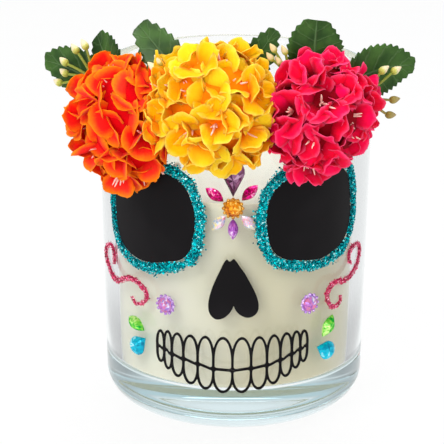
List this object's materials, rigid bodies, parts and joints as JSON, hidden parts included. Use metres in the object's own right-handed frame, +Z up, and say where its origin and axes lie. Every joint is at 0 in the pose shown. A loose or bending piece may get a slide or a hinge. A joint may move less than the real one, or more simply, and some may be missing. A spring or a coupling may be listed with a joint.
{
  "type": "decorated jar candle",
  "caption": "Thick-based glass tumbler candle dressed as a sugar skull, with vinyl eyes, nose and teeth, glitter outlines, stones and a crown of fabric flowers.",
  "frame": {"origin": "centre of the tumbler's flat base, on the tumbler's axis", "axes": "+Z up along the tumbler's axis; -Y is the way the face looks; +X is the right-hand side as the face is seen from its front"},
  "size_m": [0.1314, 0.1296, 0.1535],
  "materials": {
    "glass": "clear polished soda-lime glass",
    "wax": "cream poured wax, soft sheen",
    "wick": "braided cotton, waxed",
    "wick_tab": "thin tinned sheet steel",
    "vinyl": "black cut vinyl sheet, satin",
    "teal_glitter": "teal glitter in clear glue",
    "pink_glitter": "rose glitter in clear glue",
    "gold_stone": "amber faceted acrylic in a gold beaded rim",
    "amethyst_stone": "smoky purple faceted acrylic",
    "magenta_stone": "magenta faceted acrylic, foil back",
    "iridescent_stone": "clear faceted acrylic with a rainbow coat",
    "lavender_stone": "lavender faceted acrylic, foil back",
    "lilac_stone": "lilac faceted acrylic in a beaded rim",
    "green_stone": "green faceted acrylic, foil back",
    "blue_stone": "aqua blue faceted acrylic, foil back",
    "orange_petals": "dyed polyester petals, red-orange with yellow-orange edges",
    "yellow_petals": "dyed polyester petals, warm yellow with orange depths",
    "pink_petals": "dyed polyester petals, hot pink with paler edges",
    "hot_glue": "set drop of milky hot-melt glue",
    "leaf": "dark green starched satin weave",
    "buds": "cream moulded buds on yellow-green stems"
  },
  "bodies": {
    "root": {"glass_jar": "glass", "wax_fill": "wax", "wick_1": "wick", "wick_2": "wick", "wick_3": "wick", "wick_tab_1": "wick_tab", "wick_tab_2": "wick_tab", "wick_tab_3": "wick_tab", "eye_left": "vinyl", "eye_right": "vinyl", "nose": "vinyl", "teeth": "vinyl", "glitter_ring_left": "teal_glitter", "glitter_ring_right": "teal_glitter", "glitter_swirl_left": "pink_glitter", "glitter_swirl_right": "pink_glitter", "forehead_rosette": "gold_stone", "forehead_drop": "amethyst_stone", "forehead_magenta_left": "magenta_stone", "forehead_magenta_right": "magenta_stone", "forehead_clear_left": "iridescent_stone", "forehead_clear_right": "iridescent_stone", "forehead_lavender": "lavender_stone", "cheek_lilac_left": "lilac_stone", "cheek_lilac_right": "lilac_stone", "cheek_green_left": "green_stone", "cheek_green_right": "green_stone", "cheek_blue_left": "blue_stone", "cheek_blue_right": "blue_stone", "flower_orange": "orange_petals", "flower_yellow": "yellow_petals", "flower_pink": "pink_petals", "glue_orange": "hot_glue", "glue_yellow": "hot_glue", "glue_pink": "hot_glue", "leaf_orange_side": "leaf", "leaf_orange_top": "leaf", "leaf_yellow_left": "leaf", "leaf_yellow_right": "leaf", "leaf_pink_top": "leaf", "leaf_pink_side": "leaf", "sprig_orange": "buds", "sprig_yellow": "buds", "sprig_pink_left": "buds", "sprig_pink_right": "buds"}
  },
  "joints": []
}
